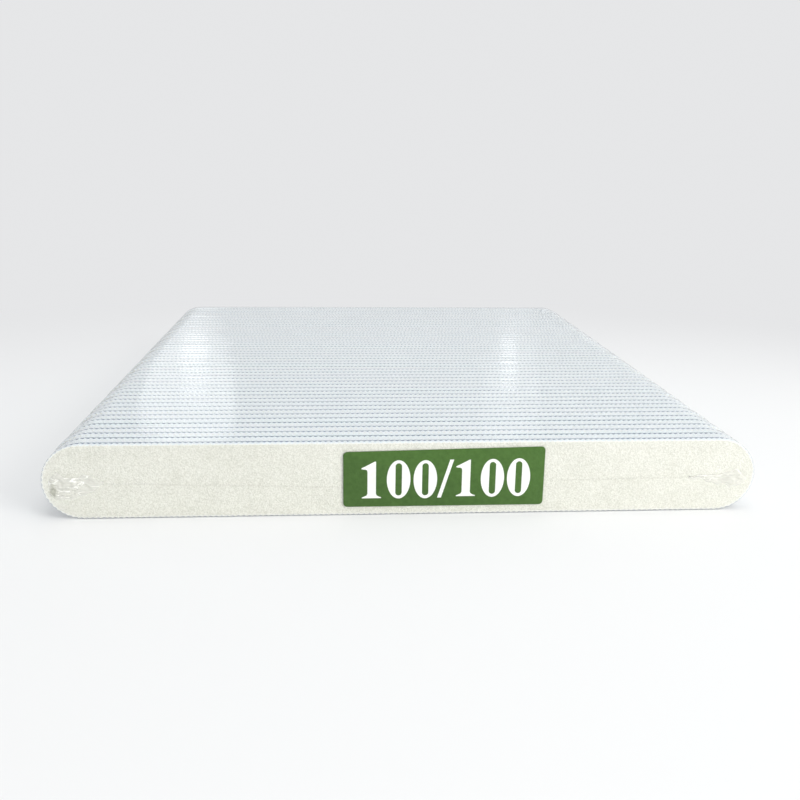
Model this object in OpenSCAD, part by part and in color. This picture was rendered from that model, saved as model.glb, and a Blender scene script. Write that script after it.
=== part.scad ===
// Shrink-wrapped pack of double-sided emery boards, stood on their long edges.
// X runs along the boards, Y from the front of the pack to the back, and Z is up.
// The origin lies on the surface that the pack stands on, under the middle of the stack.

/* [Pack] */
// Number of boards in the pack
board_count = 50; // [6:1:50]
// Most that a board sits out of line, endwise
stagger = 0.3; // [0:0.05:0.5]

/* [Board] */
// Length of a board, over its round ends
board_len = 178; // [120:1:240]
// Width of a board, which is its height in the pack
board_w = 19; // [17:0.5:28]
// Thickness of a board, of which the foam takes what the other layers leave
board_t = 4; // [3:0.25:7]

/* [Layers of a board] */
// Thickness of each abrasive sheet
grit_t = 0.35; // [0.2:0.05:0.6]
// Thickness of the plastic core strip
core_t = 1; // [0.3:0.1:1]
// Thickness of the adhesive between two layers, which is left open
glue_t = 0.05; // [0.02:0.01:0.08]

/* [Edge of a board] */
// Pitch of the flutes that the toothed die leaves in the foam and the abrasive sheets
flute_pitch = 1.36; // [1:0.02:4]
// Depth of the flutes, down to which the stiff core is cut plain
flute_depth = 0.28; // [0.05:0.01:0.4]
// Boards whose flutes are modelled, counted from the front; the others have plain edges
fluted_boards = 1; // [0:1:2]

/* [Film] */
// Thickness of the shrink film
film_t = 0.1; // [0.06:0.02:0.3]
// Room between the film and the boards
film_gap = 0.05; // [0.02:0.01:0.1]
// Width of the weld that closes the film
weld_w = 0.6; // [0.4:0.1:1]
// How far the weld stands proud of the film
weld_proud = 0.12; // [0.06:0.02:0.18]

/* [Gathered film at the front corners] */
// Length of the gathered film
gather_len = 14; // [8:1:20]
// Radius of the knot that the folds run out of
knot_r = 0.9; // [0.7:0.05:1.3]
// Height of a fold at the knot
fold_proud = 0.8; // [0.4:0.1:1.2]
// Height of a fold where it runs out
fold_end_proud = 0.3; // [0.2:0.05:0.4]

/* [Label] */
// Length of the grit label
label_len = 50.4; // [20:0.2:80]
// Height of the grit label at its left end
label_h = 14.4; // [8:0.2:15]
// How much higher the label is at its right end, where it is cut askew
label_rise = 1; // [0:0.1:1.2]
// Thickness of the grit label
label_t = 0.2; // [0.2:0.05:0.4]
// Radius of the label's corners
label_corner = 1; // [0.4:0.1:3]
// How far the label's middle lies right of the pack's middle
label_shift = 9.1; // [-20:0.1:20]
// How far the middle of the label's left end lies below the middle of the boards
label_drop = 0.1; // [0:0.1:0.6]

/* [Hidden] */
// Thickness of each foam pad, and depth of the whole stack
foam_t = (board_t - 2 * grit_t - core_t - 4 * glue_t) / 2;
stack_d = board_count * board_t;
// The cavity in the film takes every board, also those out of line
cavity_len = board_len + 2 * stagger + 2 * film_gap;
cavity_w = board_w + 2 * film_gap;
cavity_d = stack_d + 2 * film_gap;
// Outside of the film
film_len = cavity_len + 2 * film_t;
film_w = cavity_w + 2 * film_t;
film_d = cavity_d + 2 * film_t;
front_y = -film_d / 2;
// Height of the middle of the boards above the surface
mid_z = film_w / 2;
// The knot lies this far in from the end, and the folds fan out from it, counted from level
knot_in = 2.2;
fold_angles = [-13, -1, 14];
fold_reach = [0.5, 1, 0.75];
// Turn from one board to the next in the wave that sets them out of line
stagger_turn = 137.5;
$fn = 96;
corner_fn = 32;

LAYERS = ["front_grit_sheet", "front_foam_pad", "core_strip", "rear_foam_pad", "rear_grit_sheet"];
LAYER_COLOURS = ["ivory", "azure", "steelblue", "azure", "ivory"];
layer_ts = [grit_t, foam_t, core_t, foam_t, grit_t];
last_layer = len(LAYERS) - 1;
core_layer = 2;

function board_name(n) = str("board_", n < 10 ? "0" : "", n);
function layer_name(k) = str(board_name(1), "_", LAYERS[k]);

// Front of board n, and how far it sits out of line
function board_y(n) = -stack_d / 2 + (n - 1) * board_t;
function board_x(n) = stagger * sin((n - 1) * stagger_turn);
// Front of layer k, counted from the front of its board
function layer_y(k) = k == 0 ? 0 : layer_y(k - 1) + layer_ts[k - 1] + glue_t;

// Outline with straight sides and half-round ends
module board_outline(length, width) {
    straight = length - width;
    square([straight, width], center = true);
    for (side = [-1, 1])
        translate([side * straight / 2, 0])
            circle(d = width);
}

// A point at a way s along the edge of a board, r from the line that joins the middles of its ends.
// The way starts on the lower side and rounds the right end; the other half is the same, turned round.
straight_l = board_len - board_w;
half_way = straight_l + PI * board_w / 2;
function edge_point(s, r) =
    let (
        t = s < half_way ? s : s - half_way,
        x = min(t, straight_l) - straight_l / 2,
        angle = max(t - straight_l, 0) / (half_way - straight_l) * 180 - 90
    )
    (s < half_way ? 1 : -1) * [x + r * cos(angle), r * sin(angle)];

// Outline of a soft layer of a board: flutes all round it, cut in from the board's own size
module fluted_outline() {
    half_flutes = round(half_way / flute_pitch);
    step = half_way / half_flutes / 2;
    polygon([
        for (k = [0:4 * half_flutes - 1])
            edge_point(k * step, board_w / 2 - (k % 2) * flute_depth)
    ]);
}

// Stands a flat outline on its long edge, as a plate with its front face at y
module upright(y, thickness)
    translate([0, y + thickness, mid_z])
        rotate([90, 0, 0])
            linear_extrude(thickness)
                children();

// One layer of a board
module board_layer(n, k)
    color(LAYER_COLOURS[k])
        translate([board_x(n), 0, 0])
            upright(board_y(n) + layer_y(k), layer_ts[k])
                if (k == core_layer)
                    board_outline(board_len - 2 * flute_depth, board_w - 2 * flute_depth);
                else if (n <= fluted_boards)
                    fluted_outline();
                else
                    board_outline(board_len, board_w);

// A whole board: grit, foam, core, foam and grit
module board(n)
    for (k = [0:last_layer])
        board_layer(n, k);

// The weld runs along the front and both ends of the film, at mid height
module weld_band()
    translate([-film_len / 2 - weld_proud, front_y - weld_proud, mid_z - weld_w / 2])
        cube([film_len + 2 * weld_proud, film_d + weld_proud, weld_w]);

// One fold of gathered film, which tapers as it runs in from the knot
module film_fold(angle, reach)
    rotate([0, 90 + angle, 0])
        cylinder(r1 = fold_proud, r2 = fold_end_proud, h = reach);

// The folds at one front corner, where two welds meet
module corner_gather(side)
    translate([side * (film_len / 2 - knot_in), front_y, mid_z])
        mirror([side > 0 ? 1 : 0, 0, 0]) {
            sphere(r = knot_r);
            for (k = [0:len(fold_angles) - 1])
                film_fold(fold_angles[k], fold_reach[k] * (gather_len - knot_in));
        }

// Closed skin of clear film, with its weld and its gathered corners
module shrink_film()
    color("lightcyan", 0.3)
        difference() {
            union() {
                upright(front_y, film_d)
                    board_outline(film_len, film_w);
                weld_band();
                for (side = [-1, 1])
                    corner_gather(side);
            }
            upright(-cavity_d / 2, cavity_d)
                board_outline(cavity_len, cavity_w);
        }

// Outline of the label, cut a little askew along its top
module label_outline() {
    inset_x = label_len / 2 - label_corner;
    low = -label_h / 2 + label_corner;
    high = label_h / 2 - label_corner;
    hull()
        for (corner = [[-inset_x, low], [inset_x, low], [-inset_x, high], [inset_x, high + label_rise]])
            translate(corner)
                circle(r = label_corner, $fn = corner_fn);
}

// The label is stuck on the film, over its weld
module grit_label()
    color("forestgreen")
        difference() {
            translate([label_shift, 0, -label_drop])
                upright(front_y - label_t, label_t)
                    label_outline();
            weld_band();
        }

for (k = [0:last_layer])
    board_layer(1, k);
for (n = [2:board_count])
    board(n);
shrink_film();
grit_label();
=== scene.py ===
# Looks for a shrink-wrapped pack of double-sided emery boards, stood on their long edges.
# X runs along the boards, Y from the labelled front board to the back, Z is up, all in metres.

import math
import random

import bmesh
import bpy
from mathutils import Matrix, Vector, noise


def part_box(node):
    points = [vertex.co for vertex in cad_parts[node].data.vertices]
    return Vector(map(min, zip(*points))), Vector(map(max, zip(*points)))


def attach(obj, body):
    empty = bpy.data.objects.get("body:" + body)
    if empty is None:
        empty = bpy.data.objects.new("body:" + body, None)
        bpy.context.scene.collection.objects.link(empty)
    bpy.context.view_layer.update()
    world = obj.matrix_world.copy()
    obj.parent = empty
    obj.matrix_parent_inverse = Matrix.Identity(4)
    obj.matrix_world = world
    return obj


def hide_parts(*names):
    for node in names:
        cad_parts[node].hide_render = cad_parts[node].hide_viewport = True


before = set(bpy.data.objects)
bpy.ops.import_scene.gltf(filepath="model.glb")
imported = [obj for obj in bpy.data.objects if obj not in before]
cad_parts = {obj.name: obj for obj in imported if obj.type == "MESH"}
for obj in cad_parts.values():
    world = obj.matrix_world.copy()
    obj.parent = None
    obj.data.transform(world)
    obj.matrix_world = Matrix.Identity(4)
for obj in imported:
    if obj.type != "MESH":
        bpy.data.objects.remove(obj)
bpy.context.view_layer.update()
random.seed(7)
tiny = 1e-6  # places that lie closer than this count as one

boardNames = sorted({name[:8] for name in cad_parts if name.startswith("board_")})
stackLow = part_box("board_01_front_grit_sheet")[0]
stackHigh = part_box(boardNames[-1])[1]
filmLow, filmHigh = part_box("shrink_film")
labelLow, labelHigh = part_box("grit_label")
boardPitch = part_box(boardNames[2])[0].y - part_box(boardNames[1])[0].y
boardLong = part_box(boardNames[1])[1].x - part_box(boardNames[1])[0].x
boardHigh = stackHigh.z - stackLow.z
middleZ = (stackLow.z + stackHigh.z) / 2
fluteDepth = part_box("board_01_core_strip")[0].z - stackLow.z
print("frame loaded:", len(boardNames), "boards")


# Small helpers for working in edit mode

def startFresh():
    if bpy.context.object and bpy.context.object.mode != "OBJECT":
        bpy.ops.object.mode_set(mode="OBJECT")
    bpy.ops.object.select_all(action="DESELECT")


def editMode(piece, selectMode="VERT"):
    startFresh()
    bpy.context.view_layer.objects.active = piece
    piece.select_set(True)
    bpy.ops.object.mode_set(mode="EDIT")
    bpy.ops.mesh.select_mode(type=selectMode)


def pick(piece, test, kind="verts"):
    mesh = bmesh.from_edit_mesh(piece.data)
    for face in mesh.faces:
        face.select = False
    for edge in mesh.edges:
        edge.select = False
    for vert in mesh.verts:
        vert.select = False
    for element in getattr(mesh, kind):
        if test(element):
            element.select_set(True)
    mesh.select_flush_mode()
    bmesh.update_edit_mesh(piece.data)


def edgeMiddle(edge):
    return (edge.verts[0].co + edge.verts[1].co) / 2


def liesAt(edge, y):
    return all(abs(vert.co.y - y) < 10 * tiny for vert in edge.verts)


def applyModifier(piece, kind, **values):
    modifier = piece.modifiers.new(kind.title(), kind)
    for name, value in values.items():
        setattr(modifier, name, value)
    startFresh()
    bpy.context.view_layer.objects.active = piece
    piece.select_set(True)
    bpy.ops.object.modifier_apply(modifier=modifier.name)


def settle(piece, name):  # the place goes into the mesh and the object to the origin
    startFresh()
    piece.select_set(True)
    bpy.context.view_layer.objects.active = piece
    bpy.ops.object.transform_apply(location=True, rotation=True, scale=True)
    piece.name = name
    piece.data.name = name
    return piece


def faceOutwards(piece):
    editMode(piece)
    bpy.ops.mesh.select_all(action="SELECT")
    bpy.ops.mesh.normals_make_consistent(inside=False)
    bpy.ops.object.mode_set(mode="OBJECT")


def smoothUpTo(piece, degrees):
    startFresh()
    piece.select_set(True)
    bpy.context.view_layer.objects.active = piece
    bpy.ops.object.shade_smooth_by_angle(angle=math.radians(degrees))


def copyPiece(source, name, move):
    piece = source.copy()
    piece.data = source.data.copy()
    piece.data.transform(Matrix.Translation(move))
    bpy.context.collection.objects.link(piece)
    piece.name = name
    piece.data.name = name
    return piece


def joinPieces(pieces, name):
    startFresh()
    for piece in pieces:
        piece.select_set(True)
    bpy.context.view_layer.objects.active = pieces[0]
    bpy.ops.object.join()
    return settle(pieces[0], name)


def middleAcross(node):
    low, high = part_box(node)
    return (low.x + high.x) / 2


def hand(piece, slotName, *nodes):  # a finished piece goes onto the root body, and the nodes it replaces are hidden
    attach(piece, "root")
    if nodes:
        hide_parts(*nodes)


# Node groups and materials

def newGroup(name, inputs, outputs):
    group = bpy.data.node_groups.new(name, "ShaderNodeTree")
    for socketName, socketType, value in inputs:
        socket = group.interface.new_socket(name=socketName, in_out="INPUT", socket_type=socketType)
        if value is not None:
            socket.default_value = value
    for socketName, socketType in outputs:
        group.interface.new_socket(name=socketName, in_out="OUTPUT", socket_type=socketType)
    start = group.nodes.new("NodeGroupInput")
    end = group.nodes.new("NodeGroupOutput")
    return group, start, end


def addNode(tree, kind, settings=None, **values):
    node = tree.nodes.new(kind)
    for name, value in (settings or {}).items():
        setattr(node, name, value)
    for name, value in values.items():
        node.inputs[name.replace("_", " ")].default_value = value
    return node


def feed(tree, socket, value):  # a socket takes a link or a plain value
    if isinstance(value, bpy.types.NodeSocket):
        tree.links.new(value, socket)
    elif value is not None:
        socket.default_value = value


def mathNode(tree, operation, first, second=None, third=None, clamp=False):
    node = addNode(tree, "ShaderNodeMath", {"operation": operation, "use_clamp": clamp})
    for socket, value in zip(node.inputs, (first, second, third)):
        feed(tree, socket, value)
    return node.outputs[0]


def mixNode(tree, factor, first, second, kind="RGBA"):
    node = addNode(tree, "ShaderNodeMix", {"data_type": kind})
    feed(tree, node.inputs["Factor"], factor)
    feed(tree, node.inputs["A"], first)
    feed(tree, node.inputs["B"], second)
    return node.outputs["Result"]


def rangeNode(tree, value, start, end, curve="LINEAR"):  # rises from 0 at start to 1 at end
    node = addNode(tree, "ShaderNodeMapRange", {"interpolation_type": curve}, From_Min=start, From_Max=end)
    tree.links.new(value, node.inputs["Value"])
    return node.outputs["Result"]


def splitNode(tree, vector):
    node = tree.nodes.new("ShaderNodeSeparateXYZ")
    tree.links.new(vector, node.inputs[0])
    return node.outputs


def vectorNode(tree, operation, vector):
    node = addNode(tree, "ShaderNodeVectorMath", {"operation": operation})
    tree.links.new(vector, node.inputs[0])
    return node


def placeGroup(tree, group, place, **values):
    node = addNode(tree, "ShaderNodeGroup", {"node_tree": group}, **values)
    tree.links.new(place, node.inputs["Vector"])
    return node


def makeGrainGroup():  # fine specks: a height for bump and a mask for colour
    inputs = [
        ("Vector", "NodeSocketVector", None),
        ("Grain Size", "NodeSocketFloat", 0.0003),
        ("Patch Size", "NodeSocketFloat", 0.004),
        ("Patchiness", "NodeSocketFloat", 0.4),
    ]
    outputs = [("Height", "NodeSocketFloat"), ("Mask", "NodeSocketFloat")]
    contrast = 2.0
    group, start, end = newGroup("Fine grain", inputs, outputs)
    grainScale = mathNode(group, "DIVIDE", 1.0, start.outputs["Grain Size"])
    patchScale = mathNode(group, "DIVIDE", 1.0, start.outputs["Patch Size"])
    grain = addNode(group, "ShaderNodeTexNoise", Detail=2.0, Roughness=0.6)
    patch = addNode(group, "ShaderNodeTexNoise", Detail=2.0, Roughness=0.5)
    for node, scale in ((grain, grainScale), (patch, patchScale)):
        group.links.new(start.outputs["Vector"], node.inputs["Vector"])
        group.links.new(scale, node.inputs["Scale"])
    patchPart = mathNode(group, "MULTIPLY", patch.outputs[0], start.outputs["Patchiness"])
    both = mathNode(group, "ADD", grain.outputs[0], patchPart)
    average = mathNode(group, "MULTIPLY_ADD", start.outputs["Patchiness"], 0.5, 0.5)
    centred = mathNode(group, "SUBTRACT", both, average)
    mask = mathNode(group, "MULTIPLY_ADD", centred, contrast, 0.5, clamp=True)
    group.links.new(grain.outputs[0], end.inputs["Height"])
    group.links.new(mask, end.inputs["Mask"])
    return group


def makeToneGroup():  # one random value for each board, from its place in the stack
    inputs = [("Vector", "NodeSocketVector", None), ("Amount", "NodeSocketFloat", 0.1)]
    justInside = 0.01  # so that a board's front face counts to that board
    group, start, end = newGroup("Tone of each board", inputs, [("Tone", "NodeSocketFloat")])
    depth = splitNode(group, start.outputs["Vector"])["Y"]
    counted = mathNode(group, "MULTIPLY_ADD", depth, 1 / boardPitch, -stackLow.y / boardPitch + justInside)
    chance = addNode(group, "ShaderNodeTexWhiteNoise", {"noise_dimensions": "1D"})
    group.links.new(mathNode(group, "FLOOR", counted), chance.inputs["W"])
    tone = mathNode(group, "MULTIPLY", chance.outputs["Value"], start.outputs["Amount"])
    group.links.new(mathNode(group, "SUBTRACT", 1.0, tone), end.inputs["Tone"])
    return group


def makeSoftEdgeGroup():  # a cut edge that shades like the board's plain outline, and the rim beside it
    inputs = [
        ("Vector", "NodeSocketVector", None),
        ("Softness", "NodeSocketFloat", 0.5),
        ("Rim Width", "NodeSocketFloat", 0.0003),
    ]
    outputs = [("Normal", "NodeSocketVector"), ("Rim", "NodeSocketFloat")]
    group, start, end = newGroup("Soft cut edge", inputs, outputs)
    place = splitNode(group, start.outputs["Vector"])
    endMiddle = (boardLong - boardHigh) / 2
    inner = mathNode(group, "MINIMUM", mathNode(group, "MAXIMUM", place["X"], -endMiddle), endMiddle)
    outwards = group.nodes.new("ShaderNodeCombineXYZ")
    group.links.new(mathNode(group, "SUBTRACT", place["X"], inner), outwards.inputs["X"])
    group.links.new(mathNode(group, "SUBTRACT", place["Z"], middleZ), outwards.inputs["Z"])
    plain = vectorNode(group, "NORMALIZE", outwards.outputs[0]).outputs["Vector"]
    own = group.nodes.new("ShaderNodeNewGeometry").outputs["Normal"]
    onEdge = mathNode(group, "LESS_THAN", mathNode(group, "ABSOLUTE", splitNode(group, own)["Y"]), 0.5)
    amount = mathNode(group, "MULTIPLY", onEdge, start.outputs["Softness"])
    group.links.new(mixNode(group, amount, own, plain, "VECTOR"), end.inputs["Normal"])
    reach = vectorNode(group, "LENGTH", outwards.outputs[0]).outputs["Value"]
    inwards = mathNode(group, "SUBTRACT", boardHigh / 2, reach)
    group.links.new(mathNode(group, "LESS_THAN", inwards, start.outputs["Rim Width"]), end.inputs["Rim"])
    return group


grainGroup = makeGrainGroup()
toneGroup = makeToneGroup()
softEdgeGroup = makeSoftEdgeGroup()


def newMaterial(name):
    material = bpy.data.materials.new(name)
    material.use_nodes = True
    tree = material.node_tree
    coordinates = tree.nodes.new("ShaderNodeTexCoord").outputs
    return material, tree, coordinates


def shadeWith(tree, surface):  # the shader takes the place of the Principled BSDF that a new material has
    tree.nodes.remove(tree.nodes["Principled BSDF"])
    tree.links.new(surface, tree.nodes["Material Output"].inputs["Surface"])


def grainMaterial(name, look):
    material, tree, coordinates = newMaterial(name)
    shader = tree.nodes["Principled BSDF"]
    place = coordinates["Object"]
    grain = placeGroup(tree, grainGroup, place,
                       Grain_Size=look["grain"], Patch_Size=look["patch"], Patchiness=look["patchiness"])
    bump = addNode(tree, "ShaderNodeBump", Strength=look["bump"], Distance=look["grain"])
    tree.links.new(grain.outputs["Height"], bump.inputs["Height"])
    colour = mixNode(tree, grain.outputs["Mask"], (*look["dark"], 1), (*look["light"], 1))
    if "tone" in look:
        tone = placeGroup(tree, toneGroup, place, Amount=look["tone"])
        colour = mixNode(tree, tone.outputs["Tone"], (*look["toneColour"], 1), colour)
    if "softness" in look:
        softEdge = placeGroup(tree, softEdgeGroup, place, Softness=look["softness"])
        tree.links.new(softEdge.outputs["Normal"], bump.inputs["Normal"])
    if "cutEdge" in look:  # grain on the face of the sheet and plain paper on its cut edge; a paler rim along the face's outline is painted light that lifts the shade at the edge
        softEdge.inputs["Rim Width"].default_value = look["rim"]
        facing = mathNode(tree, "ABSOLUTE", splitNode(tree, coordinates["Normal"])["Y"])
        onFace = mathNode(tree, "GREATER_THAN", facing, 0.5)
        # painted light: a paler band along the outline of the face
        colour = mixNode(tree, softEdge.outputs["Rim"], colour, (*look["paintedLightRimColour"], 1))
        colour = mixNode(tree, onFace, (*look["cutEdge"], 1), colour)
    if "lightDepth" in look:  # light sinks in and spreads, which softens the flutes
        shader.inputs["Subsurface Weight"].default_value = 1.0
        shader.inputs["Subsurface Radius"].default_value = (1, 1, 1)
        shader.inputs["Subsurface Scale"].default_value = look["lightDepth"]
    shader.inputs["Roughness"].default_value = look["roughness"]
    shader.inputs["Specular IOR Level"].default_value = look["shine"]
    tree.links.new(colour, shader.inputs["Base Color"])
    tree.links.new(bump.outputs["Normal"], shader.inputs["Normal"])
    return material


gritLook = {
    "dark": (0.67, 0.66, 0.565), "light": (0.96, 0.945, 0.86),
    "grain": 0.00032, "patch": 0.006, "patchiness": 0.15,
    "roughness": 0.85, "shine": 0.25, "bump": 0.65,
    # the rim colour is painted light along the outline of the sheet's face
    "cutEdge": (0.84, 0.90, 0.91), "rim": 0.0004, "paintedLightRimColour": (0.93, 0.925, 0.865),
    "softness": 0.95,
}
foamLook = {
    "dark": (0.78, 0.86, 0.88), "light": (0.90, 0.95, 0.96),
    "grain": 0.00025, "patch": 0.006, "patchiness": 0.6,
    "roughness": 0.8, "shine": 0.3, "bump": 0.5, "softness": 0.95, "lightDepth": 0.0008,
    "tone": 0.4, "toneColour": (0.84, 0.83, 0.855),
}
coreLook = {
    "dark": (0.055, 0.115, 0.19), "light": (0.09, 0.175, 0.27),
    "grain": 0.0004, "patch": 0.008, "patchiness": 0.8,
    "roughness": 0.5, "shine": 0.4, "bump": 0.2,
    "tone": 0.45, "toneColour": (0.36, 0.45, 0.54),
}
gritMaterial = grainMaterial("Cream abrasive", gritLook)
foamMaterial = grainMaterial("White foam", foamLook)
coreMaterial = grainMaterial("Grey-blue core", coreLook)
print("board materials ready")


# Emery boards: five layers with a fluted, die-cut edge

board = {
    "flutePitch": 0.00136,
    "coreArcSteps": 24,
    "smoothAngle": 60,
}
straight = boardLong - boardHigh
endCuts = round(math.pi * boardHigh / 2 / board["flutePitch"]) * 2
sideCuts = round(straight / board["flutePitch"]) * 2


def cutInto(piece, test, count):  # an edge takes 100 cuts at most, so it is cut by one factor at a time
    factor = 2
    while count > 1:
        if count % factor:
            factor += 1
            continue
        pick(piece, test, "edges")
        bpy.ops.mesh.subdivide(number_cuts=factor - 1)
        count //= factor


def modelOutline(name, half, halfHigh, arcSteps, sideSteps):  # a flat face with half-round ends, upright
    startFresh()
    bpy.ops.mesh.primitive_plane_add(size=1, rotation=(math.pi / 2, 0, 0))
    piece = bpy.context.object
    piece.scale = (2 * half, 2 * halfHigh, 1)
    settle(piece, name)
    editMode(piece, "EDGE")
    cutInto(piece, lambda e: abs(edgeMiddle(e).z) > halfHigh - tiny, sideSteps)
    for side in (-1, 1):
        pick(piece, lambda e: side * edgeMiddle(e).x > half - tiny, "edges")
        bpy.ops.mesh.subdivide(number_cuts=1)
        pick(piece, lambda e: side * edgeMiddle(e).x > half - tiny and edgeMiddle(e).z > 0, "edges")
        bpy.ops.mesh.spin(steps=arcSteps, angle=-side * math.pi, center=(side * half, 0, 0), axis=(0, 1, 0))
    bpy.ops.mesh.select_all(action="SELECT")
    bpy.ops.mesh.remove_doubles(threshold=tiny)
    bpy.ops.object.mode_set(mode="OBJECT")
    return piece


def pressFlutes(piece):  # every second point of the outline is drawn in
    half = straight / 2
    radius = boardHigh / 2
    keep = 1 - fluteDepth / radius
    editMode(piece)
    pick(piece, lambda v: abs(v.co.x) < half + tiny and round((v.co.x + half) / straight * sideCuts) % 2)
    bpy.ops.transform.resize(value=(1, 1, keep), center_override=(0, 0, 0))
    for side in (-1, 1):
        def isOddOnEnd(v):
            across = side * v.co.x - half
            turned = math.atan2(v.co.z, across) / math.pi + 0.5
            return across > tiny and round(turned * endCuts) % 2
        pick(piece, isOddOnEnd)
        bpy.ops.transform.resize(value=(keep, 1, keep), center_override=(side * half, 0, 0))
    bpy.ops.object.mode_set(mode="OBJECT")


def thicken(piece, low, high):
    editMode(piece, "FACE")
    bpy.ops.mesh.select_all(action="SELECT")
    bpy.ops.transform.translate(value=(0, low, middleZ))
    bpy.ops.mesh.extrude_region_move(TRANSFORM_OT_translate={"value": (0, high - low, 0)})
    bpy.ops.object.mode_set(mode="OBJECT")
    faceOutwards(piece)
    smoothUpTo(piece, board["smoothAngle"])


def modelLayer(name, node, material, fluted):
    low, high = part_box(node)
    if fluted:
        piece = modelOutline(name, straight / 2, boardHigh / 2, endCuts, sideCuts)
        pressFlutes(piece)
    else:
        piece = modelOutline(name, straight / 2, (high.z - low.z) / 2, board["coreArcSteps"], 1)
    thicken(piece, low.y, high.y)
    piece.data.materials.clear()
    piece.data.materials.append(material)
    return piece


layerFinish = {
    "front_grit_sheet": (gritMaterial, "grit_paper"),
    "front_foam_pad": (foamMaterial, "foam"),
    "core_strip": (coreMaterial, "core"),
    "rear_foam_pad": (foamMaterial, "foam"),
    "rear_grit_sheet": (gritMaterial, "grit_paper"),
}
firstBoard = []
for layer, (material, slotName) in layerFinish.items():
    piece = modelLayer("front_board_" + layer, "board_01_" + layer, material, layer != "core_strip")
    firstBoard.append(piece)
    hand(piece, slotName, "board_01_" + layer)
print("front board:", sum(len(p.data.polygons) for p in firstBoard), "faces")

boardCopy = joinPieces([copyPiece(piece, "layer", (0, 0, 0)) for piece in firstBoard], "board_copy")
boardMiddles = [middleAcross("board_01_core_strip")] + [middleAcross(name) for name in boardNames[1:]]
for name, middle in zip(boardNames[1:], boardMiddles[1:]):
    move = (middle - boardMiddles[0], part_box(name)[0].y - stackLow.y, 0)
    piece = copyPiece(boardCopy, "laminated_" + name, move)
    hand(piece, "board", name)
bpy.data.objects.remove(boardCopy)
print("boards copied:", len(boardNames) - 1)


# Clear film: a rippled skin, its weld and the gathered corners

film = {
    "wall": 0.00004, "ringsPerBoard": 8, "arcSteps": 24, "sideSteps": 24, "smoothAngle": 50,
    "clearEnds": 0.00015,  # between the stack's front or back and the outside of the film
    "clearTaut": 0.00008, "insideBox": 0.00001, "tautFrom": 0.4, "jointHalf": 0.02, "foldRound": 0.00008,
    "dips": (0.25, 1.0), "dipLevel": 0.75, "dipWave": 0.5, "waveLong": 0.03, "waveShift": 1.7,
}
filmRadius = (filmHigh.z - filmLow.z) / 2
tautRadius = boardHigh / 2 + film["clearTaut"]
filmFront, filmBack = stackLow.y - film["clearEnds"], stackHigh.y + film["clearEnds"]


def shiftAt(y, side):  # how far the film lies out of line: at a joint the board that reaches further counts
    along = (y - stackLow.y) / boardPitch
    joint = round(along)
    if abs(along - joint) < film["jointHalf"]:
        near = boardMiddles[max(0, joint - 1):joint + 1]
    else:
        near = [boardMiddles[max(0, min(int(along), len(boardMiddles) - 1))]]
    return min(near) * (1 - side) / 2 + max(near) * (1 + side) / 2


def modelFilmTube():
    piece = modelOutline("film_skin", straight / 2, filmRadius, film["arcSteps"], film["sideSteps"])
    step = boardPitch / film["ringsPerBoard"]
    editMode(piece, "FACE")
    bpy.ops.mesh.select_all(action="SELECT")
    bpy.ops.transform.translate(value=(0, stackLow.y, middleZ))
    for ring in range(film["ringsPerBoard"]):
        bpy.ops.mesh.extrude_region_move(TRANSFORM_OT_translate={"value": (0, step, 0)})
    pick(piece, lambda f: abs(f.normal.y) > 0.9, "faces")
    bpy.ops.mesh.delete(type="FACE")
    bpy.ops.object.mode_set(mode="OBJECT")
    applyModifier(piece, "ARRAY", count=len(boardNames), use_relative_offset=False,
                  use_constant_offset=True, constant_offset_displace=(0, boardPitch, 0),
                  use_merge_vertices=True, merge_threshold=10 * tiny)
    return piece


def rippleFilm(piece):  # tight over the joints and round the ends, with a dip of its own on each board
    dips = [random.uniform(*film["dips"]) for name in boardNames]
    top = filmRadius - film["insideBox"]
    half = straight / 2
    for vert in piece.data.vertices:
        along = (vert.co.y - stackLow.y) / boardPitch
        n = min(int(along + 100 * tiny), len(dips) - 1)
        x, y, z = vert.co
        wave = noise.noise(Vector((x / film["waveLong"], n * film["waveShift"], z / film["waveLong"])))
        hollow = (1 - math.cos(2 * math.pi * (along - n))) / 2
        dip = dips[n] * (film["dipLevel"] + film["dipWave"] * wave) * hollow
        slack = max(0, 1 - max(0, abs(x) - half) / film["tautFrom"] / filmRadius)
        radius = tautRadius + (top - tautRadius) * (1 - dip) * slack
        centre = Vector((max(-half, min(half, x)), y, middleZ))
        shift = Vector((shiftAt(y, centre.x / half), 0, 0))
        vert.co = centre + (vert.co - centre).normalized() * radius + shift


def closeFilm(piece):
    editMode(piece, "EDGE")
    for end, y in ((stackLow.y, filmFront), (stackHigh.y, filmBack)):
        pick(piece, lambda e: liesAt(e, end), "edges")
        bpy.ops.transform.translate(value=(0, y - end, 0))
        bpy.ops.mesh.edge_face_add()
        bpy.ops.mesh.select_mode(type="EDGE")
        pick(piece, lambda e: liesAt(e, y), "edges")
        bpy.ops.mesh.bevel(offset=film["foldRound"], segments=2, affect="EDGES")
    bpy.ops.object.mode_set(mode="OBJECT")
    faceOutwards(piece)
    applyModifier(piece, "SOLIDIFY", thickness=film["wall"], offset=-1)
    smoothUpTo(piece, film["smoothAngle"])


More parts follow.
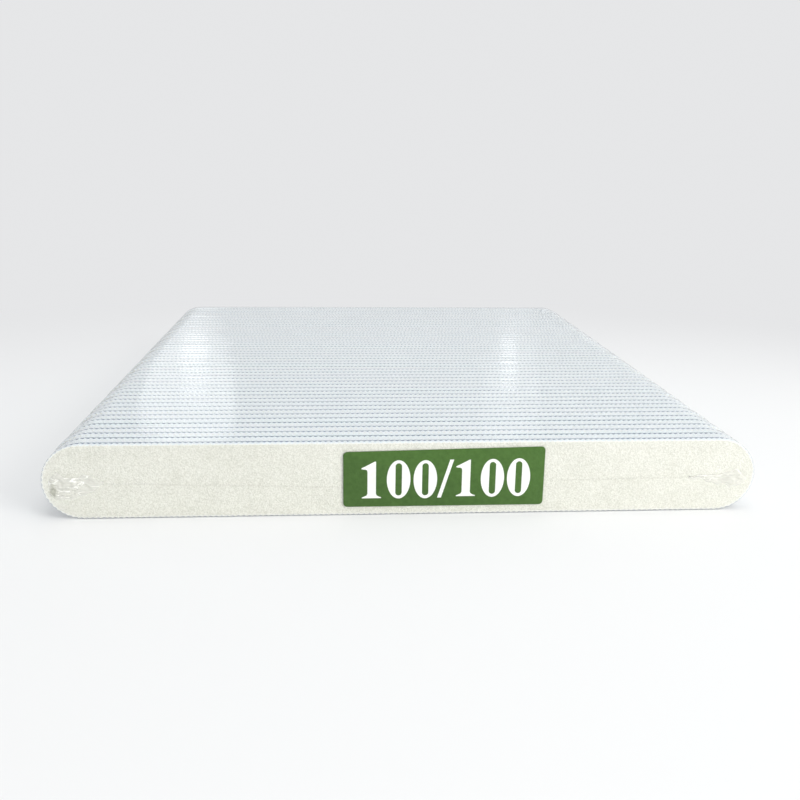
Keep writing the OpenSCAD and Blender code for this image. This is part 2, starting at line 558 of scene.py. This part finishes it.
def makeWrinkleGroup():  # a height of ripples on slack film, and a mask of sharp folds
    inputs = [
        ("Vector", "NodeSocketVector", None),
        ("Ripple Length", "NodeSocketFloat", 0.004),
        ("Slack Length", "NodeSocketFloat", 0.02),
        ("Slack", "NodeSocketFloat", 0.5),
    ]
    outputs = [("Height", "NodeSocketFloat"), ("Crease", "NodeSocketFloat")]
    stretch, creaseHalf, slackFrom, slackTo = (0.12, 1, 0.6), 0.03, 0.45, 0.6
    group, start, end = newGroup("Film wrinkles", inputs, outputs)
    squeeze = addNode(group, "ShaderNodeMapping", Scale=stretch)
    group.links.new(start.outputs["Vector"], squeeze.inputs["Vector"])
    rippleScale = mathNode(group, "DIVIDE", 1.0, start.outputs["Ripple Length"])
    slackScale = mathNode(group, "DIVIDE", 1.0, start.outputs["Slack Length"])
    ripple = addNode(group, "ShaderNodeTexNoise", Detail=1.0, Roughness=0.4)
    slack = addNode(group, "ShaderNodeTexNoise", Detail=1.0, Roughness=0.5)
    for node, scale in ((ripple, rippleScale), (slack, slackScale)):
        group.links.new(squeeze.outputs[0], node.inputs["Vector"])
        group.links.new(scale, node.inputs["Scale"])
    slackPart = mathNode(group, "MULTIPLY", slack.outputs[0], start.outputs["Slack"])
    group.links.new(mathNode(group, "ADD", ripple.outputs[0], slackPart), end.inputs["Height"])
    offCrease = mathNode(group, "ABSOLUTE", mathNode(group, "SUBTRACT", ripple.outputs[0], 0.5))
    crease = rangeNode(group, offCrease, creaseHalf, 0.0)
    loose = rangeNode(group, slack.outputs[0], slackFrom, slackTo)
    group.links.new(mathNode(group, "MULTIPLY", crease, loose), end.inputs["Crease"])
    return group


wrinkleGroup = makeWrinkleGroup()


def milkAndPaintedShadeNode(tree, look, place, wrinkle, bump):  # pale film with painted shade: a darker patch at one corner of the gather
    fold = look["fold"]
    toPaintedShade = addNode(tree, "ShaderNodeMapping")
    toPaintedShade.inputs["Location"].default_value = [-at / half for at, half in zip(fold["place"], fold["half"])]
    toPaintedShade.inputs["Scale"].default_value = [1 / half for half in fold["half"]]
    tree.links.new(place, toPaintedShade.inputs["Vector"])
    away = vectorNode(tree, "LENGTH", toPaintedShade.outputs[0]).outputs["Value"]
    ragged = mathNode(tree, "ADD", away, wrinkle.outputs["Height"])
    paintedShade = rangeNode(tree, ragged, *fold["fade"], "SMOOTHSTEP")
    milk = tree.nodes.new("ShaderNodeBsdfDiffuse")
    colour = mixNode(tree, paintedShade, (*look["milkColour"], 1), (*fold["colour"], 1))
    tree.links.new(colour, milk.inputs["Color"])
    tree.links.new(bump.outputs[0], milk.inputs["Normal"])
    return milk


def blendShaders(tree, factor, first, second):
    node = tree.nodes.new("ShaderNodeMixShader")
    feed(tree, node.inputs["Fac"], factor)
    tree.links.new(first.outputs[0], node.inputs[1])
    tree.links.new(second.outputs[0], node.inputs[2])
    return node


def filmMaterial(name, look):
    material, tree, coordinates = newMaterial(name)
    place = coordinates["Object"]
    wrinkle = placeGroup(tree, wrinkleGroup, place, Ripple_Length=look["ripple"],
                         Slack_Length=look["slackLength"], Slack=look["slack"])
    bump = addNode(tree, "ShaderNodeBump", Strength=look["bump"], Distance=look["bumpDistance"])
    tree.links.new(wrinkle.outputs["Height"], bump.inputs["Height"])
    facing = addNode(tree, "ShaderNodeLayerWeight", Blend=0.5)
    tree.links.new(bump.outputs[0], facing.inputs["Normal"])
    grazing = mathNode(tree, "POWER", facing.outputs["Facing"], 5.0)  # Schlick's form of a mirror
    mirror = mathNode(tree, "MULTIPLY_ADD", grazing, look["rim"] - look["facing"], look["facing"])
    if "crease" in look:  # film that was folded sharply turns pale along the fold, which here also stands for the creases' highlights: partly painted highlight
        paintedCreaseHighlight = mathNode(tree, "MULTIPLY", wrinkle.outputs["Crease"], look["crease"])
        mirror = mathNode(tree, "ADD", mirror, paintedCreaseHighlight, clamp=True)
    backfacing = tree.nodes.new("ShaderNodeNewGeometry").outputs["Backfacing"]
    mirror = mathNode(tree, "MULTIPLY", mirror, mathNode(tree, "SUBTRACT", 1.0, backfacing))
    clear = addNode(tree, "ShaderNodeBsdfTransparent", Color=(*look["clear"], 1))
    surface = addNode(tree, "ShaderNodeBsdfAnisotropic", Roughness=look["roughness"])
    tree.links.new(bump.outputs[0], surface.inputs["Normal"])
    if "milk" in look:
        surface = blendShaders(tree, look["milk"], surface, milkAndPaintedShadeNode(tree, look, place, wrinkle, bump))
    shadeWith(tree, blendShaders(tree, mirror, clear, surface).outputs[0])
    return material


skinLook = {  # facing and rim are the shares thrown back by film that is seen straight on and edgewise
    "ripple": 0.004, "slackLength": 0.03, "slack": 0.6, "bump": 0.25, "bumpDistance": 0.0003,
    "facing": 0.078, "rim": 0.9, "roughness": 0.09, "clear": (0.985, 0.99, 0.995),
}
gatherLook = {
    "ripple": 0.0008, "slackLength": 0.004, "slack": 0.8, "bump": 0.9, "bumpDistance": 0.0004,
    "facing": 0.4, "rim": 0.8, "roughness": 0.16, "clear": (0.99, 0.99, 0.985),
    # crease: how far sharp folds turn pale, partly painted highlight
    "crease": 0.7, "milk": 0.82, "milkColour": (0.96, 0.96, 0.91),
    # fold is painted shade: a darker patch at the outer end of the left gather
    "fold": {"place": (-0.0862, 0.0, 0.0078), "half": (0.0011, 10.0, 0.0023), "fade": (2.3, 1.4),
             "colour": (0.5, 0.51, 0.42)},
}
weldLook = {**skinLook, "clear": (0.985, 0.985, 0.98)}
skinMaterial = filmMaterial("Clear film", skinLook)
gatherMaterial = filmMaterial("Crumpled film", gatherLook)
weldMaterial = filmMaterial("Welded film", weldLook)

skin = modelFilmTube()
rippleFilm(skin)
closeFilm(skin)
skin.data.materials.append(skinMaterial)
skin.visible_shadow = False
hand(skin, "film", "shrink_film")
print("film skin:", len(skin.data.polygons), "faces")

weld = {
    "wide": 0.00045, "proud": 0.00006, "clear": 0.00001, "steps": 90, "frontLong": 0.148, "crest": 0.5,
    "path": [(-0.0889, 0.0087), (-0.0746, 0.00915), (-0.045, 0.0084), (-0.0172, 0.00755), (0.0368, 0.00875),
             (0.0665, 0.00895), (0.0751, 0.00935), (0.0889, 0.0094)],
}


def heightAlong(path, x):
    for (x0, z0), (x1, z1) in zip(path, path[1:]):
        if x <= x1 or (x1, z1) == path[-1]:
            t = max(0.0, min(1.0, (x - x0) / (x1 - x0)))
            return z0 + (z1 - z0) * t * t * (3 - 2 * t)


def weldStrip(name, length, steps):  # a thin bead along X, its back on the plane y = 0
    startFresh()
    bpy.ops.mesh.primitive_grid_add(x_subdivisions=steps, y_subdivisions=2, size=1,
                                    rotation=(math.pi / 2, 0, 0))
    piece = bpy.context.object
    piece.scale = (length, weld["wide"], 1)
    settle(piece, name)
    editMode(piece, "FACE")
    bpy.ops.mesh.select_all(action="SELECT")
    bpy.ops.mesh.extrude_region_move(TRANSFORM_OT_translate={"value": (0, -weld["proud"], 0)})
    pick(piece, lambda v: v.co.y < -tiny)
    bpy.ops.transform.resize(value=(1, 1, weld["crest"]), center_override=(0, 0, 0))
    bpy.ops.object.mode_set(mode="OBJECT")
    return piece


def modelWeld():
    strips = [weldStrip("film_weld", weld["frontLong"], weld["steps"])]
    for vert in strips[0].data.vertices:
        vert.co.z += heightAlong(weld["path"], vert.co.x)
        vert.co.y += filmFront
    for side in (-1, 1):
        strip = weldStrip("end_weld", filmBack - filmFront, film["ringsPerBoard"] * len(boardNames))
        turn = Matrix.Rotation(side * math.pi / 2, 4, "Z")
        z = weld["path"][0 if side < 0 else -1][1]
        strip.data.transform(Matrix.Translation((0, (filmFront + filmBack) / 2, z)) @ turn)
        for vert in strip.data.vertices:
            reach = straight / 2 + math.sqrt(tautRadius ** 2 - (vert.co.z - middleZ) ** 2) + weld["clear"]
            vert.co.x += side * reach + shiftAt(vert.co.y, side)
        strips.append(strip)
    piece = joinPieces(strips, "film_weld")
    faceOutwards(piece)
    smoothUpTo(piece, film["smoothAngle"])
    return piece


weldPiece = modelWeld()
weldPiece.data.materials.append(weldMaterial)
weldPiece.visible_shadow = False
hand(weldPiece, "film", "shrink_film")

gathers = {  # top and low are heights above the boards' lower edge, on the way in from the corner
    "film_gather_left": {
        "side": -1, "outer": 0.0874, "inner": 0.0742, "seed": 3.0, "proud": 0.00078,
        "top": [(0, 0.0098), (0.15, 0.0122), (0.35, 0.0106), (0.7, 0.0112), (1, 0.0098)],
        "low": [(0, 0.0062), (0.12, 0.0050), (0.4, 0.0052), (0.75, 0.0066), (1, 0.0088)],
    },
    "film_gather_right": {
        "side": 1, "outer": 0.0868, "inner": 0.0718, "seed": 11.0, "proud": 0.00055,
        "top": [(0, 0.0092), (0.15, 0.0110), (0.5, 0.0098), (0.8, 0.0094), (1, 0.0092)],
        "low": [(0, 0.0075), (0.2, 0.0062), (0.5, 0.0072), (0.8, 0.0082), (1, 0.0087)],
    },
}
crumple = {
    "stepsLong": 52, "stepsHigh": 26, "wall": 0.00005, "clear": 0.00006, "smoothAngle": 30,
    "crease": {"long": 0.0055, "high": 0.0022, "sharp": 2.2, "share": 0.62, "seed": 0},
    "fine": {"long": 0.00144, "high": 0.0009, "sharp": 2.0, "share": 0.38, "seed": 5},
    "least": 0.08,
    "ragged": 0.0006, "raggedLong": 7, "raggedHigh": 1.2,
    "fadeUp": 5, "fadeOuter": 8, "fadeInner": 4, "lowerInside": 0.55,
}


def foldHeight(x, z, fold, seed):  # noise folded at its middle makes sharp ridges
    place = Vector((x / fold["long"], z / fold["high"], seed + fold["seed"]))
    return fold["share"] * (1 - fold["sharp"] * abs(noise.noise(place)))


def modelGather(name, look):  # film drawn together in the corner and pressed flat against the front
    startFresh()
    bpy.ops.mesh.primitive_grid_add(x_subdivisions=crumple["stepsLong"], size=1,
                                    y_subdivisions=crumple["stepsHigh"], rotation=(math.pi / 2, 0, 0))
    piece = settle(bpy.context.object, name)
    for vert in piece.data.vertices:
        u, v = vert.co.x + 0.5, vert.co.z + 0.5  # u runs inwards from the corner, v upwards
        x = look["side"] * (look["outer"] + (look["inner"] - look["outer"]) * u)
        low, top = (stackLow.z + heightAlong(look[edge], u) for edge in ("low", "top"))
        place = Vector((u * crumple["raggedLong"], v * crumple["raggedHigh"], look["seed"]))
        ragged = crumple["ragged"] * noise.noise(place) * (2 * v - 1) ** 2
        z = low + (top - low) * v + ragged
        folds = sum(foldHeight(x, z, crumple[size], look["seed"]) for size in ("crease", "fine"))
        fade = min(1, crumple["fadeUp"] * v, crumple["fadeUp"] * (1 - v),
                   crumple["fadeOuter"] * u, crumple["fadeInner"] * (1 - u))
        fade *= 1 - crumple["lowerInside"] * u
        height = look["proud"] * fade * max(crumple["least"], min(1, folds))
        vert.co = (x, filmFront - crumple["clear"] - height, z)
    faceOutwards(piece)
    if sum(face.normal.y for face in piece.data.polygons) > 0:
        piece.data.flip_normals()  # an open sheet has no outside, so it is turned to the front
    applyModifier(piece, "SOLIDIFY", thickness=crumple["wall"], offset=-1)
    smoothUpTo(piece, crumple["smoothAngle"])
    return piece


for name, look in gathers.items():
    piece = modelGather(name, look)
    piece.data.materials.append(gatherMaterial)
    piece.visible_shadow = False
    hand(piece, "film", "shrink_film")
print("weld and gathered corners ready")


# Label with its grit numbers

label = {"cornerRound": 0.001, "cornerSteps": 6, "rise": 0.001, "rimRound": 0.00004, "smoothAngle": 40}
labelLook = {
    "dark": (0.049, 0.117, 0.019), "light": (0.067, 0.149, 0.028),
    "grain": 0.0009, "patch": 0.02, "patchiness": 0.6,
    "roughness": 0.45, "shine": 0.35, "bump": 0.12,
}
inkLook = {
    "dark": (0.84, 0.85, 0.80), "light": (0.93, 0.94, 0.90),
    "grain": 0.0007, "patch": 0.004, "patchiness": 0.5,
    "roughness": 0.5, "shine": 0.3, "bump": 0.1,
}
labelMaterial = grainMaterial("Green label", labelLook)
inkMaterial = grainMaterial("Pale ink", inkLook)


def modelLabel():
    middle = (labelLow + labelHigh) / 2
    startFresh()
    bpy.ops.mesh.primitive_plane_add(size=1, location=(middle.x, labelHigh.y, middle.z),
                                     rotation=(math.pi / 2, 0, 0))
    piece = bpy.context.object
    piece.scale = (labelHigh.x - labelLow.x, labelHigh.z - labelLow.z, 1)
    settle(piece, "label_sheet")
    editMode(piece)
    pick(piece, lambda v: v.co.z > middle.z and v.co.x < middle.x)
    bpy.ops.transform.translate(value=(0, 0, -label["rise"]))
    bpy.ops.mesh.select_all(action="SELECT")
    bpy.ops.mesh.bevel(offset=label["cornerRound"], segments=label["cornerSteps"], affect="VERTICES")
    bpy.ops.mesh.select_mode(type="FACE")
    bpy.ops.mesh.select_all(action="SELECT")
    bpy.ops.mesh.extrude_region_move(TRANSFORM_OT_translate={"value": (0, labelLow.y - labelHigh.y, 0)})
    bpy.ops.object.mode_set(mode="OBJECT")
    faceOutwards(piece)
    editMode(piece, "EDGE")
    pick(piece, lambda e: liesAt(e, labelLow.y), "edges")
    bpy.ops.mesh.bevel(offset=label["rimRound"], segments=2, affect="EDGES")
    bpy.ops.object.mode_set(mode="OBJECT")
    smoothUpTo(piece, label["smoothAngle"])
    return piece


figureLook = {  # each figure has its lower left corner at the origin
    "ink": 0.00002,
    "zero": {"wide": 0.0059, "high": 0.0101, "holeWide": 0.00162, "holeHigh": 0.0085, "points": 48},
    "slash": {"wide": 0.00097, "high": 0.01004, "lean": 0.00306},
    "one": [  # height, left end and right end of each row, from the foot up to the flag
        (0, 0, 0.0048), (0.00022, 0, 0.0048), (0.00042, 0.00055, 0.00425), (0.00075, 0.0012, 0.00366),
        (0.0012, 0.0014, 0.0035), (0.0069, 0.0014, 0.0035), (0.00735, 0.0013, 0.0035),
        (0.00755, 0.001, 0.0035), (0.00762, 0.0004, 0.0035), (0.0077, -0.0001, 0.0035),
        (0.00795, -0.00008, 0.0035), (0.0085, 0.00105, 0.0035), (0.0092, 0.00235, 0.0035),
        (0.00965, 0.0032, 0.0035),
    ],
}


def raiseInk(piece):  # the flat figure becomes a thin layer
    editMode(piece, "FACE")
    bpy.ops.mesh.select_all(action="SELECT")
    bpy.ops.mesh.extrude_region_move(TRANSFORM_OT_translate={"value": (0, -figureLook["ink"], 0)})
    bpy.ops.object.mode_set(mode="OBJECT")
    faceOutwards(piece)
    return piece


def modelZero():  # a round figure with thick sides and a narrow upright hole
    wide, high, holeWide, holeHigh, points = figureLook["zero"].values()
    startFresh()
    bpy.ops.mesh.primitive_circle_add(vertices=points, radius=0.5, rotation=(math.pi / 2, 0, 0))
    piece = bpy.context.object
    piece.scale = (wide, high, 1)
    settle(piece, "zero")
    editMode(piece)
    bpy.ops.mesh.select_all(action="SELECT")
    bpy.ops.mesh.duplicate()
    bpy.ops.transform.resize(value=(holeWide / wide, 1, holeWide / high), center_override=(0, 0, 0))
    for side in (-1, 1):
        pick(piece, lambda v: math.hypot(v.co.x, v.co.z) < holeWide / 2 + tiny and side * v.co.z > tiny)
        bpy.ops.transform.translate(value=(0, 0, side * (holeHigh - holeWide) / 2))
    bpy.ops.mesh.select_all(action="SELECT")
    bpy.ops.mesh.select_mode(type="EDGE")
    bpy.ops.mesh.bridge_edge_loops()
    bpy.ops.mesh.select_all(action="SELECT")
    bpy.ops.transform.translate(value=(wide / 2, 0, high / 2))
    bpy.ops.object.mode_set(mode="OBJECT")
    return raiseInk(piece)


def modelOne():  # a stem on a thin foot, with a flag at its top left, drawn up row by row
    rows = figureLook["one"]
    (z0, left0, right0), (z1, left1, right1) = rows[:2]
    startFresh()
    bpy.ops.mesh.primitive_plane_add(size=1, location=((left0 + right0) / 2, 0, (z0 + z1) / 2),
                                     rotation=(math.pi / 2, 0, 0))
    piece = bpy.context.object
    piece.scale = (right0 - left0, z1 - z0, 1)
    settle(piece, "one")
    editMode(piece, "EDGE")
    for (z0, left0, right0), (z1, left1, right1) in zip(rows[1:], rows[2:]):
        pick(piece, lambda e: all(abs(v.co.z - z0) < tiny for v in e.verts), "edges")
        shift = (left1 + right1 - left0 - right0) / 2
        bpy.ops.mesh.extrude_edges_move(TRANSFORM_OT_translate={"value": (shift, 0, z1 - z0)})
        factor = (right1 - left1) / (right0 - left0)
        bpy.ops.transform.resize(value=(factor, 1, 1), center_override=((left1 + right1) / 2, 0, z1))
    bpy.ops.object.mode_set(mode="OBJECT")
    return raiseInk(piece)


def modelSlash():
    wide, high, lean = figureLook["slash"].values()
    startFresh()
    bpy.ops.mesh.primitive_plane_add(size=1, location=(wide / 2, 0, high / 2), rotation=(math.pi / 2, 0, 0))
    piece = bpy.context.object
    piece.scale = (wide, high, 1)
    settle(piece, "slash")
    editMode(piece)
    pick(piece, lambda v: v.co.z > high / 2)
    bpy.ops.transform.translate(value=(lean, 0, 0))
    bpy.ops.object.mode_set(mode="OBJECT")
    return raiseInk(piece)


labelSheet = modelLabel()
labelSheet.data.materials.append(labelMaterial)
hand(labelSheet, "label", "grit_label")

figures = {"one": modelOne(), "zero": modelZero(), "slash": modelSlash()}
numbers = [  # figure, and the place of its lower left corner: across, and above the boards' lower edge
    ("one", -0.0115, 0.00445), ("zero", -0.0053, 0.0043), ("zero", 0.00137, 0.00425),
    ("slash", 0.00738, 0.0044),
    ("one", 0.0121, 0.0047), ("zero", 0.01825, 0.0044), ("zero", 0.02487, 0.0045),
]
placed = [copyPiece(figures[figure], figure, (x, labelLow.y, z + stackLow.z)) for figure, x, z in numbers]
for piece in figures.values():
    bpy.data.objects.remove(piece)
numerals = joinPieces(placed, "label_numerals")
numerals.data.materials.append(inkMaterial)
hand(numerals, "label")
print("label ready:", len(numerals.data.polygons), "faces in its numbers")


# Studio: a pale floor that sweeps up into a backdrop, soft light and the camera

studio = {
    "floorHalf": 2.5, "floorFront": -2.0, "backdropY": 0.7, "sweepRadius": 1.4, "sweepSteps": 24,
    "backdropHigh": 2.6,
    # the far colour is painted shade: floor and backdrop turn darker away from the bright middle as the
    # light falls off
    "nearColour": (0.825, 0.829, 0.828), "farShadeColour": (0.79, 0.795, 0.805),
    "nearGlow": 0.35, "farGlow": 1.0, "nearEdge": 0.17, "farEdge": 0.4, "brightMiddle": (0.0, -0.15, 0.0),
}


def modelStage():
    startFresh()
    half, front = studio["floorHalf"], studio["floorFront"]
    back, radius = studio["backdropY"], studio["sweepRadius"]
    bpy.ops.mesh.primitive_plane_add(size=1, location=(0, (front + back) / 2, 0))
    piece = bpy.context.object
    piece.scale = (2 * half, back - front, 1)
    settle(piece, "studio_floor")
    editMode(piece, "EDGE")
    pick(piece, lambda e: liesAt(e, back), "edges")
    bpy.ops.mesh.spin(steps=studio["sweepSteps"], angle=-math.pi / 2,
                      center=(0, back, radius), axis=(1, 0, 0))
    pick(piece, lambda e: liesAt(e, back + radius), "edges")
    rise = studio["backdropHigh"] - radius
    bpy.ops.mesh.extrude_edges_move(TRANSFORM_OT_translate={"value": (0, 0, rise)})
    startFresh()
    piece.select_set(True)
    bpy.ops.object.shade_smooth()
    return piece


def seenRays(tree):  # 1 for what the camera sees, also through or in the film
    path = tree.nodes.new("ShaderNodeLightPath").outputs
    seen = mathNode(tree, "ADD", path["Is Camera Ray"], path["Is Glossy Ray"])
    return mathNode(tree, "ADD", seen, path["Is Transmission Ray"], clamp=True)


def makeStageMaterial():  # shines by itself where it is seen, least near the pack, which keeps its shadow; away from the bright middle its colour darkens, a painted falloff of light
    material, tree, coordinates = newMaterial("Pale studio floor")
    distance = vectorNode(tree, "DISTANCE", coordinates["Object"])
    distance.inputs[1].default_value = studio["brightMiddle"]
    far = rangeNode(tree, distance.outputs["Value"], studio["nearEdge"], studio["farEdge"], "SMOOTHSTEP")
    colour = mixNode(tree, far, (*studio["nearColour"], 1), (*studio["farShadeColour"], 1))
    floor = tree.nodes.new("ShaderNodeBsdfDiffuse")
    own = addNode(tree, "ShaderNodeEmission", Strength=1.0)
    tree.links.new(colour, floor.inputs["Color"])
    tree.links.new(colour, own.inputs["Color"])
    glow = mathNode(tree, "MULTIPLY_ADD", far, studio["farGlow"] - studio["nearGlow"], studio["nearGlow"])
    shine = mathNode(tree, "MULTIPLY", seenRays(tree), glow)
    shadeWith(tree, blendShaders(tree, shine, floor, own).outputs[0])
    return material


stage = modelStage()
stage.data.materials.append(makeStageMaterial())

softboxes = {
    "key_softbox": {"place": (0.62, -0.58, 0.36), "wide": 0.5, "power": 5.7, "colour": (1.0, 0.985, 0.96)},
    "top_softbox": {"place": (0.35, -0.25, 1.6), "wide": 1.5, "power": 14},
    "back_softbox": {"place": (0.0, 1.2, 1.3), "wide": 1.0, "power": 2.5, "colour": (0.97, 0.985, 1.0)},
    "left_softbox": {"place": (-0.8, 0.3, 0.12), "wide": 0.3, "power": 1.2, "colour": (0.98, 0.985, 1.0)},
}
farLamps = {  # small lamps behind the pack, out of the picture, which the film throws back as two streaks
    "left_far_lamp": {"place": (-0.205, 0.84, 0.22), "wide": 0.04, "high": 0.03, "power": 0.0034},
    "left_wide_lamp": {"place": (-0.22, 0.86, 0.27), "wide": 0.13, "high": 0.22, "power": 0.036},
    "right_far_lamp": {"place": (0.216, 0.84, 0.22), "wide": 0.025, "high": 0.03, "power": 0.002},
    "right_wide_lamp": {"place": (0.225, 0.86, 0.28), "wide": 0.08, "high": 0.2, "power": 0.007},
}


def addLamp(name, lamp, shape):
    light = bpy.data.lights.new(name, "AREA")
    light.shape = shape
    light.size = lamp["wide"]
    light.size_y = lamp.get("high", lamp["wide"])
    light.energy = lamp["power"]
    light.color = lamp.get("colour", (1.0, 1.0, 1.0))
    holder = bpy.data.objects.new(name, light)
    holder.location = lamp["place"]
    holder.rotation_euler = (-Vector(lamp["place"])).to_track_quat("-Z", "Y").to_euler()
    holder.visible_camera = False
    bpy.context.collection.objects.link(holder)
    return holder


for name, lamp in softboxes.items():
    addLamp(name, lamp, "SQUARE").visible_glossy = False  # the film would throw it back as one white sheet
for name, lamp in farLamps.items():
    addLamp(name, lamp, "ELLIPSE")

skyLook = {
    "daylight": {"Color": (0.94, 0.97, 1.0, 1), "Strength": 0.5},
    "seen": {"Color": (0.93, 0.95, 0.97, 1), "Strength": 1.0},
}
world = bpy.data.worlds.new("Soft daylight")
world.use_nodes = True
sky = world.node_tree
sky.nodes.clear()
daylight = addNode(sky, "ShaderNodeBackground", **skyLook["daylight"])
seenSky = addNode(sky, "ShaderNodeBackground", **skyLook["seen"])
skyMix = blendShaders(sky, seenRays(sky), daylight, seenSky)
sky.links.new(skyMix.outputs[0], sky.nodes.new("ShaderNodeOutputWorld").inputs["Surface"])
bpy.context.scene.world = world

view = {
    "place": (-0.017754, -0.304521, 0.08667),
    "pitch": 15.472, "yaw": 4.326, "roll": 0.849,
    "focalPixels": 876.397, "pictureWide": 800, "sensorWide": 36, "nearest": 0.005,
}
camera = bpy.data.cameras.new("photo_view")
camera.sensor_width = view["sensorWide"]
camera.lens = view["focalPixels"] / view["pictureWide"] * view["sensorWide"]
camera.clip_start = view["nearest"]
cameraHolder = bpy.data.objects.new("photo_view", camera)
bpy.context.collection.objects.link(cameraHolder)
pitch, yaw, roll = (math.radians(view[angle]) for angle in ("pitch", "yaw", "roll"))
turn = Matrix.Rotation(-yaw, 4, "Z") @ Matrix.Rotation(math.pi / 2 - pitch, 4, "X")
turn = turn @ Matrix.Rotation(roll, 4, "Z")
cameraHolder.matrix_world = Matrix.Translation(view["place"]) @ turn
bpy.context.scene.camera = cameraHolder
bpy.context.scene.view_settings.view_transform = "Standard"
